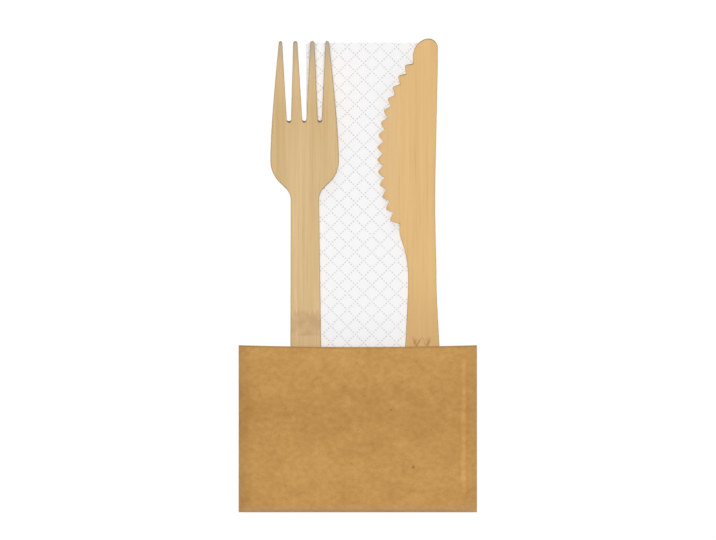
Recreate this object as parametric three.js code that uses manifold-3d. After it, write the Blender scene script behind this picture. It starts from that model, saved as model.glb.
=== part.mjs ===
// A takeaway cutlery set: a bamboo fork, a bamboo knife and a folded paper napkin in a kraft paper
// sleeve. The set lies on its back. X runs across the sleeve, Y from the sleeve's foot to the tips
// of the cutlery, and Z up from the table. Sizes are in millimetres.

import * as THREE from "three";
import { mergeVertices } from "three/addons/utils/BufferGeometryUtils.js";
import Module from "manifold-3d";

// Sleeve: one sheet of kraft paper, folded on the left, seamed on the right, closed at the foot.
const PAPER = 0.25; // thickness of the kraft paper
const SLEEVE_HEIGHT = 61; // foot fold to mouth
const FORK_SIDE_MARGIN = 11.55; // left fold to the widest part of the fork's head
const KNIFE_SIDE_MARGIN = 12.45; // right fold to the knife's handle
const SIDE_ROLL = 12; // width over which the panels close up to a side fold
const FOOT_ROLL = 2; // height over which the panels close up to the foot fold
const FOLD_GAP = 0.1; // space left between the panels inside a fold
const MOUTH_DIP = 0.4; // how far the middle of the mouth lies below its corners
const TAB_WIDTH = 5.8; // seam tab, glued under the front panel along the right fold
const TAB_SETBACK = 0.7; // from the end of the tab's root to the mouth
const TAB_STEP = 0.04; // how far the tab lifts the front panel beside the fold
const TAB_RIDGE = 0.2; // how far the tab's edge lifts it
const FLAP_HEIGHT = 11; // foot flap, turned up behind the back panel
const FLAP_SETBACK = 3; // from the end of the flap's root to a side fold
const FLAP_MITRE = 6; // how far each slanted end of the flap runs in
const FLAP_EASE = 10; // height over which the back panel comes down off the flap

// Napkin: a square sheet of tissue, folded once lengthwise and three times across.
const NAPKIN_SHEET = 330; // side of the open sheet
const NAPKIN_LEAF = 0.25; // one leaf of the folded slip, pressed flat in the sleeve
const NAPKIN_OFFSET = 0.6; // from the fork's axis to the napkin's left edge
const NAPKIN_SEAT = 4.35; // from the top of the foot roll to the napkin's lower end
const NAPKIN_EASE = 16; // length beyond the mouth over which the napkin springs open
const RAW_EDGE_STEP = 0.8; // how far the sheet's cut edges stay back from its folds

// Fork: stamped from a bamboo strip, its head pressed upwards.
const FORK_LENGTH = 170;
const FORK_THICKNESS = 2;
const FORK_HEAD_WIDTH = 25.1;
const FORK_NECK_WIDTH = 10.35;
const FORK_END_WIDTH = 12;
const FORK_END_ROUND = 4.5;
const FORK_HEAD_LENGTH = 43.6; // tips to the head's full width
const SHOULDER_RADIUS = 11;
const NECK_RADIUS = 6;
const TINE_LENGTH = 29.1; // root of the slots to the tips
const SLOT_SPACING = 5.67;
const SLOT_ROOT_RADIUS = 0.8;
const OUTER_TIP_OFFSET = 8.5; // from the fork's axis
const OUTER_TIP_RADIUS = 0.65;
const INNER_TIP_OFFSET = 3.1;
const INNER_TIP_RADIUS = 0.8;
const FORK_BEND_LENGTH = 53; // tips to where the head starts to turn up
const TIP_RISE = 12.3; // how far the tips stand above the handle
const HEAD_DISH = 0.7; // how far the head's sides stand above its middle
const FORK_LEAN = 0.34; // degrees, the head to the left

// Knife: stamped from the same strip, with one side bevelled before its teeth are cut.
const KNIFE_LENGTH = 170;
const KNIFE_THICKNESS = 2;
const KNIFE_RISE = 0.9; // from the top of the foot roll to the handle's end
const KNIFE_END_WIDTH = 15;
const KNIFE_END_ROUND = 5;
const KNIFE_WAIST_WIDTH = 10.3;
const KNIFE_WAIST = 88; // point to the narrowest part of the handle
const END_EASE = 0.58; // share of the handle over which it keeps close to its end width
const WAIST_EASE = 0.15; // share of the handle over which it keeps close to its waist
const SPINE_HOLLOW = 58; // point to the deepest part of the spine's hollow
const SPINE_HOLLOW_DEPTH = 0.45; // beyond the waist
const POINT_SPINE = 5.65; // from the knife's axis to the spine at the point
const POINT_PEAK = 2.4; // from the knife's axis to the top of the point
const POINT_BACK_ROUND = 3.5;
const POINT_FRONT_ROUND = 6.5;
const EDGE_START = 9.2; // point to the first tooth
const EDGE_BELLY = 43; // point to the widest part of the blade
const EDGE_END = 67.6; // point to the last tooth
const EDGE_RADIUS = 57;
const BELLY_REACH = 14.5; // from the knife's axis to the roots of the teeth
const TOOTH_PITCH = 4.4;
const TOOTH_DEPTH = 1.9;
const TOOTH_TIP_WIDTH = 0.7;
const HEEL_NOTCH = 0.6; // how far the heel is cut in behind the last tooth
const HEEL_DROP = 3.6; // from the last tooth to the curve into the handle
const BEVEL_START = 8.9; // from the knife's axis to the bevel
const EDGE_THICKNESS = 0.9; // at the tips of the teeth

const CUTLERY_GAP = 14; // between the fork's head and the tips of the knife's teeth
const CLEARANCE = 0.3; // between pieces that lie on each other

// Sizes that follow from those above.
const toothReach = BELLY_REACH + TOOTH_DEPTH;
const knifeWidth = toothReach + KNIFE_END_WIDTH / 2;
const cutleryWidth = FORK_HEAD_WIDTH + CUTLERY_GAP + knifeWidth;
const sleeveWidth = FORK_SIDE_MARGIN + cutleryWidth + KNIFE_SIDE_MARGIN;
const foldX = sleeveWidth / 2;
const leafCount = 8;
const napkinWidth = NAPKIN_SHEET / leafCount;
const napkinLength = NAPKIN_SHEET / 2;
const shoulderY = FORK_LENGTH - FORK_HEAD_LENGTH;

// Heights of the stack, from the table up.
const napkinBase = 2 * PAPER + CLEARANCE;
const napkinTop = napkinBase + leafCount * NAPKIN_LEAF;
const cutleryBase = napkinTop + CLEARANCE;
const cutleryTop = cutleryBase + Math.max(FORK_THICKNESS, KNIFE_THICKNESS);
const sleeveTop = cutleryTop + CLEARANCE + PAPER;
const seamHeight = sleeveTop / 2;

// Places of the pieces in the sleeve.
const forkX = -foldX + FORK_SIDE_MARGIN + FORK_HEAD_WIDTH / 2;
const forkY = FOOT_ROLL;
const knifeX = foldX - KNIFE_SIDE_MARGIN - KNIFE_END_WIDTH / 2;
const knifeY = FOOT_ROLL + KNIFE_RISE;
const napkinX = forkX + NAPKIN_OFFSET;
const napkinY = FOOT_ROLL + NAPKIN_SEAT;
const overallLength = Math.max(forkY + FORK_LENGTH, knifeY + KNIFE_LENGTH, napkinY + napkinLength);

const wasm = await Module();
wasm.setup();

// A solid for cutting and joining, from a closed geometry.
function toSolid(geometry) {
  geometry.deleteAttribute("normal");
  geometry.deleteAttribute("uv");
  const merged = mergeVertices(geometry);
  return new wasm.Manifold(new wasm.Mesh({
    numProp: 3,
    vertProperties: merged.attributes.position.array,
    triVerts: Uint32Array.from(merged.index.array),
  }));
}

// The geometry of a cut or joined solid, with flat facets.
function toGeometry(solid) {
  const { vertProperties, triVerts } = solid.getMesh();
  const indexed = new THREE.BufferGeometry();
  indexed.setAttribute("position", new THREE.BufferAttribute(vertProperties, 3));
  indexed.setIndex(new THREE.BufferAttribute(triVerts, 1));
  const geometry = indexed.toNonIndexed();
  geometry.computeVertexNormals();
  return geometry;
}

// A closed surface through rings of points that lie one after another along Y.
function loft(rings) {
  const size = rings[0].length;
  const positions = rings.flat().flatMap((point) => point.toArray());
  const index = [];
  for (let ring = 0; ring + 1 < rings.length; ring += 1) {
    for (let point = 0; point < size; point += 1) {
      const next = (point + 1) % size;
      const a = ring * size + point;
      const b = ring * size + next;
      index.push(a, a + size, b, b, a + size, b + size);
    }
  }
  const section = rings[0].map((point) => new THREE.Vector2(point.x, point.z));
  const last = (rings.length - 1) * size;
  for (const [a, b, c] of THREE.ShapeUtils.triangulateShape(section, [])) {
    index.push(a, b, c, last + a, last + c, last + b);
  }
  const geometry = new THREE.BufferGeometry();
  geometry.setAttribute("position", new THREE.Float32BufferAttribute(positions, 3));
  geometry.setIndex(index);
  return geometry;
}

// A closed solid between two heights over a grid: plan gives the place of a grid point, and lower
// and upper give the heights there.
function solidBetween(columns, rows, plan, lower, upper) {
  const positions = [];
  for (const height of [lower, upper]) {
    for (const row of rows) {
      for (const column of columns) {
        const [x, y] = plan(column, row);
        positions.push(x, y, height(x, y, column, row));
      }
    }
  }
  const wide = columns.length;
  const layer = wide * rows.length;
  const index = [];
  const addQuad = (a, b, c, d) => index.push(a, b, c, a, c, d);
  for (let row = 0; row + 1 < rows.length; row += 1) {
    const start = row * wide;
    const end = start + wide - 1;
    for (let a = start; a < end; a += 1) {
      addQuad(a, a + wide, a + wide + 1, a + 1);
      addQuad(layer + a, layer + a + 1, layer + a + wide + 1, layer + a + wide);
    }
    addQuad(start, layer + start, layer + start + wide, start + wide);
    addQuad(end, end + wide, layer + end + wide, layer + end);
  }
  for (let a = 0; a + 1 < wide; a += 1) {
    const b = layer - wide + a;
    addQuad(a, a + 1, layer + a + 1, layer + a);
    addQuad(b, layer + b, layer + b + 1, b + 1);
  }
  const geometry = new THREE.BufferGeometry();
  geometry.setAttribute("position", new THREE.Float32BufferAttribute(positions, 3));
  geometry.setIndex(index);
  return toSolid(geometry);
}

// An outline in the plan, as a solid that stands from one height to another.
function prism(outline, low, high) {
  const options = { depth: high - low, bevelEnabled: false };
  const geometry = new THREE.ExtrudeGeometry(new THREE.Shape(outline), options);
  geometry.translate(0, 0, low);
  return toSolid(geometry);
}

const curveSteps = 8; // straight runs in each curve of an outline

// Evenly spaced values from one end to the other.
function steps(from, to, count) {
  return Array.from({ length: count + 1 }, (_, i) => THREE.MathUtils.lerp(from, to, i / count));
}

// Distances from a fold at which a quarter-round roll of the given width turns by even angles.
function rollSteps(width, count) {
  return steps(0, Math.PI / 2, count).map((angle) => width * (1 - Math.cos(angle)));
}

// Share of its full height that a panel has reached at a distance from a fold.
function rollShare(distance, width) {
  const left = THREE.MathUtils.clamp(1 - distance / width, 0, 1);
  return Math.sqrt(1 - left * left);
}

function makeSleeve() {
  const sideSteps = 8;
  const footSteps = 5;
  const easeSteps = 4;
  const tabSteps = 6;
  const bond = PAPER / 2; // how deep a glued ply runs into the panel that it is glued to

  // How full the pocket is at a point, for its outside or, set in by a ply, for its inside.
  const fullness = (x, y, inset) =>
    rollShare(foldX - inset - Math.abs(x), SIDE_ROLL - inset) * rollShare(y - inset, FOOT_ROLL - inset);
  const flapLift = (y) => 1 - THREE.MathUtils.smoothstep(y, FLAP_HEIGHT, FLAP_HEIGHT + FLAP_EASE);
  const frontDepth = sleeveTop - seamHeight;
  const backDepth = (y) => seamHeight - PAPER * flapLift(y);
  const frontOutside = (x, y) => seamHeight + PAPER + (frontDepth - PAPER) * fullness(x, y, 0);
  const backOutside = (x, y) => seamHeight - PAPER - (backDepth(y) - PAPER) * fullness(x, y, 0);
  const innerDepth = (depth, share) => FOLD_GAP / 2 + (depth - PAPER - FOLD_GAP / 2) * share;
  const frontInside = (x, y) => seamHeight + innerDepth(frontDepth, fullness(x, y, PAPER));
  const backInside = (x, y) => seamHeight - innerDepth(backDepth(y), fullness(x, y, PAPER));

  const columns = (inset) => {
    const right = rollSteps(SIDE_ROLL - inset, sideSteps).map((distance) => foldX - inset - distance);
    const left = right.map((x) => -x);
    return [...left, ...right.reverse()];
  };
  const rows = (inset, top) => [
    ...rollSteps(FOOT_ROLL - inset, footSteps).map((distance) => inset + distance),
    ...steps(FLAP_HEIGHT, FLAP_HEIGHT + FLAP_EASE, easeSteps),
    top,
  ];
  const straight = (x, y) => [x, y];
  const body = solidBetween(columns(0), rows(0, SLEEVE_HEIGHT), straight, backOutside, frontOutside);
  const pastMouth = SLEEVE_HEIGHT + SIDE_ROLL;
  const hollow = solidBetween(columns(PAPER), rows(PAPER, pastMouth), straight, backInside, frontInside);

  // The mouth is cut on a shallow arc, lowest in the middle.
  const cutAway = new THREE.Shape();
  cutAway.moveTo(-foldX, SLEEVE_HEIGHT);
  cutAway.quadraticCurveTo(0, SLEEVE_HEIGHT - 2 * MOUTH_DIP, foldX, SLEEVE_HEIGHT);
  cutAway.lineTo(foldX, pastMouth);
  cutAway.lineTo(-foldX, pastMouth);
  const mouth = prism(cutAway.getPoints(curveSteps), -PAPER, sleeveTop + PAPER);

  // The seam tab lifts the front panel: a long strip along the right fold with slanted ends.
  const tabPlan = (across, along) => [
    foldX - across * TAB_WIDTH,
    THREE.MathUtils.lerp(
      FOOT_ROLL + across * TAB_WIDTH,
      SLEEVE_HEIGHT - TAB_SETBACK - across * TAB_WIDTH,
      along,
    ),
  ];
  const lift = (across) => THREE.MathUtils.lerp(TAB_STEP, TAB_RIDGE, Math.sin(Math.PI * across * across));
  const tab = solidBetween(
    steps(1, 0, tabSteps),
    [0, 1],
    tabPlan,
    (x, y) => frontOutside(x, y) - bond,
    (x, y, across) => frontOutside(x, y) + lift(across),
  );

  // The foot flap lies behind the back panel: full width at the fold, with slanted ends.
  const flapPlan = (x, y) => {
    const rootHalf = foldX - FLAP_SETBACK;
    return [x * (1 - (FLAP_MITRE / rootHalf) * (y / FLAP_HEIGHT)), y];
  };
  const flap = solidBetween(
    columns(FLAP_SETBACK),
    rows(0, FLAP_HEIGHT).filter((y) => y <= FLAP_HEIGHT),
    flapPlan,
    (x, y) => backOutside(x, y) - PAPER,
    (x, y) => backOutside(x, y) + bond,
  );
  return toGeometry(body.subtract(hollow).subtract(mouth).add(tab).add(flap));
}

// Half a turn of a fold that bulges to one side (+1 right, -1 left), from its first level up.
function foldArc(edge, bottom, top, side, count) {
  const radius = (top - bottom) / 2;
  return steps(-Math.PI / 2, Math.PI / 2, count).map((angle) => new THREE.Vector2(
    edge - side * radius + side * radius * Math.cos(angle),
    (bottom + top) / 2 + radius * Math.sin(angle),
  ));
}

function makeNapkin() {
  const arcSteps = 6;
  const easeSteps = 6;
  const left = napkinX;
  const right = napkinX + napkinWidth;
  const quarter = leafCount / 4; // leaves between one level of the section and the next

  // Across the slip: the cut edges and two folds on the right, the last fold on the left.
  const section = [
    new THREE.Vector2(right - RAW_EDGE_STEP, 0),
    new THREE.Vector2(right - RAW_EDGE_STEP, quarter),
    ...foldArc(right, quarter, 2 * quarter, 1, arcSteps).slice(1),
    ...foldArc(right, 2 * quarter, leafCount, 1, arcSteps).slice(1),
    ...foldArc(left, 0, leafCount, -1, 2 * arcSteps).reverse(),
  ];

  // Pressed in the sleeve, the slip springs open towards the table once it is out of the mouth.
  const baseAt = (y) => napkinBase
    * (1 - THREE.MathUtils.smoothstep(y, SLEEVE_HEIGHT, SLEEVE_HEIGHT + NAPKIN_EASE));
  const ring = (y) => section.map(({ x, y: level }) => new THREE.Vector3(
    x, y, THREE.MathUtils.lerp(baseAt(y), napkinTop, level / leafCount),
  ));
  const stations = [
    napkinY,
    ...steps(SLEEVE_HEIGHT, SLEEVE_HEIGHT + NAPKIN_EASE, easeSteps),
    napkinY + napkinLength,
  ];
  return loft(stations.map(ring));
}

// Right half of the fork's outline, from the handle's end to the root of the middle slot.
function forkHalfOutline() {
  const headHalf = FORK_HEAD_WIDTH / 2;
  const neckHalf = FORK_NECK_WIDTH / 2;
  const endHalf = FORK_END_WIDTH / 2;
  const rootY = FORK_LENGTH - TINE_LENGTH + SLOT_ROOT_RADIUS;

  // Neck and shoulder are arcs that meet a straight flank at 45 degrees, as large as it lets them.
  const arcsWide = (SHOULDER_RADIUS + NECK_RADIUS) * (1 - Math.SQRT1_2);
  const fit = Math.min(1, (headHalf - neckHalf) / arcsWide);
  const shoulderRadius = SHOULDER_RADIUS * fit;
  const neckRadius = NECK_RADIUS * fit;
  const flank = shoulderY - (headHalf - shoulderRadius) - shoulderRadius * Math.SQRT2;
  const neckY = flank + neckHalf + neckRadius - neckRadius * Math.SQRT2;
  const path = new THREE.Path();
  path.moveTo(0, 0);
  path.absellipse(0, FORK_END_ROUND, endHalf, FORK_END_ROUND, -Math.PI / 2, 0, false, 0);
  path.lineTo(neckHalf, neckY);
  path.absarc(neckHalf + neckRadius, neckY, neckRadius, Math.PI, (3 * Math.PI) / 4, true);
  path.absarc(headHalf - shoulderRadius, shoulderY, shoulderRadius, -Math.PI / 4, 0, false);

  // The head narrows in a long curve to the outer tine.
  const outerTipY = FORK_LENGTH - OUTER_TIP_RADIUS;
  const outerEdge = OUTER_TIP_OFFSET + OUTER_TIP_RADIUS;
  const reach = (outerTipY - shoulderY) / 4;
  const taper = (headHalf - outerEdge) / (outerTipY - shoulderY - reach);
  path.bezierCurveTo(
    headHalf, shoulderY + reach,
    outerEdge + taper * reach, outerTipY - reach,
    outerEdge, outerTipY,
  );
  path.absarc(OUTER_TIP_OFFSET, outerTipY, OUTER_TIP_RADIUS, 0, Math.PI, false);
  path.absarc(SLOT_SPACING, rootY, SLOT_ROOT_RADIUS, 0, Math.PI, true);
  const innerTipY = FORK_LENGTH - INNER_TIP_RADIUS;
  path.absarc(INNER_TIP_OFFSET, innerTipY, INNER_TIP_RADIUS, 0, Math.PI, false);
  path.absarc(0, rootY, SLOT_ROOT_RADIUS, 0, -Math.PI / 2, true);
  return path.getPoints(curveSteps);
}

function makeFork() {
  const half = forkHalfOutline();
  const mirrored = half.slice(1, -1).reverse().map(({ x, y }) => new THREE.Vector2(-x, y));
  const outline = [...half, ...mirrored];

  // The pressed strip: flat along the handle, then an arc up to the straight tines, with the
  // sides of the head standing a little above its middle.
  const rootY = FORK_LENGTH - TINE_LENGTH;
  const bendY = FORK_LENGTH - FORK_BEND_LENGTH;
  const bend = rootY - bendY;
  const tineSlope = TIP_RISE / (bend / 2 + TINE_LENGTH);
  const slope = (y) => tineSlope * THREE.MathUtils.clamp((y - bendY) / bend, 0, 1);
  const rise = (y) => {
    const onArc = THREE.MathUtils.clamp(y - bendY, 0, bend);
    return (tineSlope * onArc * onArc) / (2 * bend) + tineSlope * Math.max(0, y - rootY);
  };
  const dishShare = (y) => THREE.MathUtils.smoothstep(y, bendY, shoulderY)
    * (1 - THREE.MathUtils.smoothstep(y, shoulderY, FORK_LENGTH));
  const dish = (x, y) => HEAD_DISH * dishShare(y) * (2 * x / FORK_HEAD_WIDTH) ** 2;
  const underside = (x, y) => rise(y) + dish(x, y);
  const topside = (x, y) => underside(x, y) + FORK_THICKNESS * Math.hypot(1, slope(y));

  const acrossSteps = 16;
  const bendSteps = 10;
  const tineSteps = 4;
  const columns = steps(-FORK_HEAD_WIDTH, FORK_HEAD_WIDTH, acrossSteps);
  const rows = [
    -FORK_END_ROUND,
    ...steps(bendY, rootY, bendSteps),
    ...steps(rootY, FORK_LENGTH + FORK_END_ROUND, tineSteps).slice(1),
  ];
  const strip = solidBetween(columns, rows, (x, y) => [x, y], underside, topside);
  const tallest = topside(FORK_HEAD_WIDTH, FORK_LENGTH) + FORK_THICKNESS + HEAD_DISH;
  return toGeometry(strip.intersect(prism(outline, -FORK_THICKNESS, tallest)));
}

// The knife's outline: up the spine, round the point, down the teeth and back along the handle.
function knifeOutline() {
  const endHalf = KNIFE_END_WIDTH / 2;
  const waistHalf = KNIFE_WAIST_WIDTH / 2;
  const waistY = KNIFE_LENGTH - KNIFE_WAIST;
  const path = new THREE.Path();
  path.moveTo(0, 0);
  path.absellipse(0, KNIFE_END_ROUND, endHalf, KNIFE_END_ROUND, -Math.PI / 2, 0, false, 0);
  const flare = waistY - KNIFE_END_ROUND;
  const flareLow = KNIFE_END_ROUND + END_EASE * flare;
  const flareHigh = waistY - WAIST_EASE * flare;
  path.bezierCurveTo(endHalf, flareLow, waistHalf, flareHigh, waistHalf, waistY);

  // The spine runs in a little and out again towards the point.
  const hollowX = waistHalf - SPINE_HOLLOW_DEPTH;
  const hollowY = KNIFE_LENGTH - SPINE_HOLLOW;
  const spineRun = (hollowY - waistY) / 2;
  path.bezierCurveTo(
    waistHalf, waistY + spineRun / 2,
    hollowX, hollowY - spineRun,
    hollowX, hollowY,
  );
  const backRoundY = KNIFE_LENGTH - POINT_BACK_ROUND;
  path.bezierCurveTo(
    hollowX, hollowY + spineRun,
    POINT_SPINE, backRoundY - spineRun,
    POINT_SPINE, backRoundY,
  );
  const backRoundWidth = POINT_SPINE - POINT_PEAK;
  path.absellipse(POINT_PEAK, backRoundY, backRoundWidth, POINT_BACK_ROUND, 0, Math.PI / 2, false, 0);

  // Roots and tips of the teeth lie on two arcs about one centre.
  const centreX = EDGE_RADIUS - BELLY_REACH;
  const bellyY = KNIFE_LENGTH - EDGE_BELLY;
  const startTurn = Math.asin((EDGE_BELLY - EDGE_START) / EDGE_RADIUS);
  const endTurn = Math.asin((EDGE_BELLY - EDGE_END) / EDGE_RADIUS);
  const toothCount = Math.round(((startTurn - endTurn) * EDGE_RADIUS) / TOOTH_PITCH);
  const onEdge = (teeth, height, shift = 0) => {
    const turn = THREE.MathUtils.lerp(startTurn, endTurn, teeth / toothCount) - shift / EDGE_RADIUS;
    const radius = EDGE_RADIUS + height;
    return [centreX - radius * Math.cos(turn), bellyY + radius * Math.sin(turn)];
  };
  const [edgeX] = onEdge(0, 0);
  const frontRoundWidth = POINT_PEAK - edgeX;
  const frontRoundY = KNIFE_LENGTH - POINT_FRONT_ROUND;
  path.absellipse(
    POINT_PEAK, frontRoundY, frontRoundWidth, POINT_FRONT_ROUND, Math.PI / 2, Math.PI, false, 0,
  );
  for (let tooth = 0; tooth < toothCount; tooth += 1) {
    path.lineTo(...onEdge(tooth, 0));
    path.lineTo(...onEdge(tooth + 0.5, TOOTH_DEPTH, -TOOTH_TIP_WIDTH / 2));
    path.lineTo(...onEdge(tooth + 0.5, TOOTH_DEPTH, TOOTH_TIP_WIDTH / 2));
  }
  const [lastX, lastY] = onEdge(toothCount, 0);
  const heelX = lastX + HEEL_NOTCH;
  const heelY = lastY - HEEL_DROP;
  path.lineTo(heelX, lastY);
  path.lineTo(heelX, heelY);

  // The heel sweeps in to the waist, and the handle widens again to its end.
  const heelRun = (heelY - waistY) / 2;
  path.bezierCurveTo(
    heelX + heelRun / 7, heelY - heelRun / 2,
    -waistHalf, waistY + heelRun,
    -waistHalf, waistY,
  );
  path.bezierCurveTo(-waistHalf, flareHigh, -endHalf, flareLow, -endHalf, KNIFE_END_ROUND);
  path.absellipse(0, KNIFE_END_ROUND, endHalf, KNIFE_END_ROUND, Math.PI, 1.5 * Math.PI, false, 0);
  return path.getPoints(curveSteps).slice(0, -1);
}

function makeKnife() {
  // Section of the strip: full thickness to the bevel, then thinner on both faces to the teeth.
  const middle = KNIFE_THICKNESS / 2;
  const thinHalf = EDGE_THICKNESS / 2;
  const section = [
    [KNIFE_END_WIDTH, 0],
    [KNIFE_END_WIDTH, KNIFE_THICKNESS],
    [-BEVEL_START, KNIFE_THICKNESS],
    [-toothReach, middle + thinHalf],
    [-toothReach - TOOTH_DEPTH, middle + thinHalf],
    [-toothReach - TOOTH_DEPTH, middle - thinHalf],
    [-toothReach, middle - thinHalf],
    [-BEVEL_START, 0],
  ];
  const ring = (y) => section.map(([x, z]) => new THREE.Vector3(x, y, z));
  const strip = toSolid(loft([ring(-KNIFE_END_ROUND), ring(KNIFE_LENGTH + KNIFE_END_ROUND)]));
  const outline = prism(knifeOutline(), -KNIFE_THICKNESS, 2 * KNIFE_THICKNESS);
  return toGeometry(strip.intersect(outline));
}

function makeMesh(name, geometry, color, roughness) {
  const material = new THREE.MeshStandardMaterial({ color, roughness, metalness: 0 });
  const mesh = new THREE.Mesh(geometry, material);
  mesh.name = name;
  return mesh;
}

const sleeve = makeMesh("sleeve", makeSleeve(), "#c09254", 0.85);
const napkin = makeMesh("napkin", makeNapkin(), "#f3f3f3", 0.95);

const fork = makeMesh("fork", makeFork(), "#d7b788", 0.55);
const lean = THREE.MathUtils.degToRad(FORK_LEAN);
fork.rotation.z = lean;
fork.position.set(forkX + shoulderY * Math.sin(lean), forkY, cutleryBase);

const knife = makeMesh("knife", makeKnife(), "#dcb67d", 0.55);
knife.position.set(knifeX, knifeY, cutleryBase);

// The origin is under the middle of the whole set.
const cutlerySet = new THREE.Group();
cutlerySet.position.y = -overallLength / 2;
cutlerySet.add(sleeve, napkin, fork, knife);

export default cutlerySet;
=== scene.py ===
import bmesh
import bpy
import numpy as np
from mathutils.geometry import delaunay_2d_cdt
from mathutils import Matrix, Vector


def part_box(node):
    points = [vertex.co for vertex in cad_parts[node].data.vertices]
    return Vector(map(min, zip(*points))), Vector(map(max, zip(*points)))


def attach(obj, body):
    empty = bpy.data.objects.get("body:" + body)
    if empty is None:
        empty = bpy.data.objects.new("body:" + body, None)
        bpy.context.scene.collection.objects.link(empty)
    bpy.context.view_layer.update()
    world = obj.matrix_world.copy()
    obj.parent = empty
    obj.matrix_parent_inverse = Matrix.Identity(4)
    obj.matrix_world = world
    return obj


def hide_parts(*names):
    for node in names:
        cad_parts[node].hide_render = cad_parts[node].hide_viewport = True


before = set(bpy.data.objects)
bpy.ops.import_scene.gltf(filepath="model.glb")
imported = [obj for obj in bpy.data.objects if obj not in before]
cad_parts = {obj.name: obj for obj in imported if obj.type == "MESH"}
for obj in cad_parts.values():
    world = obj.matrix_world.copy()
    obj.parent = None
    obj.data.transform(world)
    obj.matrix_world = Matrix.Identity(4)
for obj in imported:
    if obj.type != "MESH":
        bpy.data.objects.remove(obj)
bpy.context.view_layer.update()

# Sleeve: one sheet of brown kraft paper, folded on the left and closed on the right by a tab that is
# glued under the front panel. At the foot the front panel runs on as a flap, turned up and glued behind
# the back. The tab's edge shows through the front as an upright ridge.

MM = 0.001
PAPER = 0.25 * MM
SIDE_ROLL = 12 * MM  # width over which the panels close up to a side fold
FOOT_ROLL = 1.5 * MM  # height over which they close up to the foot fold
SIDE_CREASE = 0.9  # share of a round turn that a panel makes towards a fold, where 1 leaves no crease
FOOT_CREASE = 0.6
PAPER_CREASE = np.radians(20)  # turn at which the paper is creased rather than bent
WELD = 0.001 * MM  # points of the sheet that lie closer than this become one
MOUTH_DIP = 0.65 * MM  # how far the middle of the mouth lies below its corners
SWELL = 0.25 * MM  # soft waves of the front panel over the handles
SWELL_LENGTH = 42 * MM
SWELL_START = 4.3 * MM  # first crest, above the foot
TAB_WIDTH = 5.8 * MM
TAB_ROOT = 0.1  # share of that width at which the tab leaves the fold
TAB_SETBACK = 0.7 * MM  # from the end of the tab's root to the mouth
TAB_STEP = 0.04 * MM  # lift of the front panel over the tab
TAB_RIDGE = 0.22 * MM  # lift over the tab's edge
TAB_SOFT = 0.6 * MM  # length over which the lift fades out
FLAP_HEIGHT = 11 * MM
FLAP_SETBACK = 3 * MM  # from the end of the flap's root to a side fold
FLAP_MITRE = 6 * MM  # how far each slanted end of the flap runs in
FLAP_EASE = 10 * MM  # height over which the back panel comes down off the flap
GLUE_GAP = 0.02 * MM

sleeve_low, sleeve_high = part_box("sleeve")
fold_x = sleeve_high.x
foot_y = sleeve_low.y
mouth_y = sleeve_high.y
seam_z = sleeve_high.z / 2


def smooth_step(low, high, value):
    """0 below low, 1 above high, and 3t^2 - 2t^3 between them."""
    t = np.clip((value - low) / (high - low), 0, 1)
    return t * t * (3 - 2 * t)


def roll_share(distance, width, crease):
    """Share of its full height that a panel has at a distance from a fold: an ellipse cut at a crease."""
    left = crease * np.clip(1 - distance / width, 0, 1)
    start = np.sqrt(1 - crease**2)
    return (np.sqrt(1 - left**2) - start) / (1 - start)


def roll_places(width, crease, count):
    """Distances from a fold at which its ellipse, cut at the crease, turns by even angles."""
    angle = np.linspace(np.arcsin(crease), 0, count)
    return width * (1 - np.sin(angle) / crease)


def fullness(x, y, inset):
    """How far the pocket has opened at a point: the side roll times the foot roll, set in by a ply."""
    side = roll_share(fold_x - inset - np.abs(x), SIDE_ROLL - inset, SIDE_CREASE)
    return side * roll_share(y - foot_y - inset, FOOT_ROLL - inset, FOOT_CREASE)


def tab_lift(x, y):
    """Lift over the hidden tab: sin(pi a^2) of the share a across it, faded out at its slanted ends."""
    across = (fold_x - x) / TAB_WIDTH
    ridge = TAB_STEP + (TAB_RIDGE - TAB_STEP) * np.sin(np.pi * np.clip(across, 0, 1) ** 2)
    slant = np.clip(across, 0, 1) * TAB_WIDTH
    from_foot = y - (foot_y + FOOT_ROLL + slant)
    from_mouth = (mouth_y - TAB_SETBACK - slant) - y
    ends = smooth_step(0, TAB_SOFT, from_foot) * smooth_step(0, TAB_SOFT, from_mouth)
    return ridge * ends * smooth_step(0, TAB_SOFT, (1 - across) * TAB_WIDTH)


def front_height(x, y, inset):
    """Front panel: the open half of the pocket, with a cosine wave up its height and the tab's lift."""
    share = fullness(x, y, inset)
    wave = SWELL * np.cos(2 * np.pi * (y - foot_y - SWELL_START) / SWELL_LENGTH)
    return seam_z + (seam_z - inset + wave) * share + tab_lift(x, y) * share


def back_height(x, y, inset):
    """Back panel: level on the table, and one ply higher where the foot flap lies behind it."""
    lift = PAPER * (1 - smooth_step(FLAP_HEIGHT, FLAP_HEIGHT + FLAP_EASE, y - foot_y))
    return seam_z - (seam_z - lift - inset) * fullness(x, y, inset)


def pocket_grid(inset):
    """Grid over a panel, finer at its folds and over the tab, up to the shallow arc of the mouth."""
    right = fold_x - inset - roll_places(SIDE_ROLL - inset, SIDE_CREASE, count=44)
    left = -(fold_x - inset - roll_places(SIDE_ROLL - inset, SIDE_CREASE, count=20))
    across = np.concatenate([left, np.linspace(left[-1], right[-1], num=46)[1:-1], right[::-1]])
    foot = inset + roll_places(FOOT_ROLL - inset, FOOT_CREASE, count=12)
    up = np.concatenate([foot, np.linspace(FOOT_ROLL, mouth_y - foot_y, num=84)[1:]])
    x, v = np.meshgrid(across, up / up[-1])
    return x, foot_y + v * (mouth_y - foot_y - MOUTH_DIP * (1 - (x / fold_x) ** 2))


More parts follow.
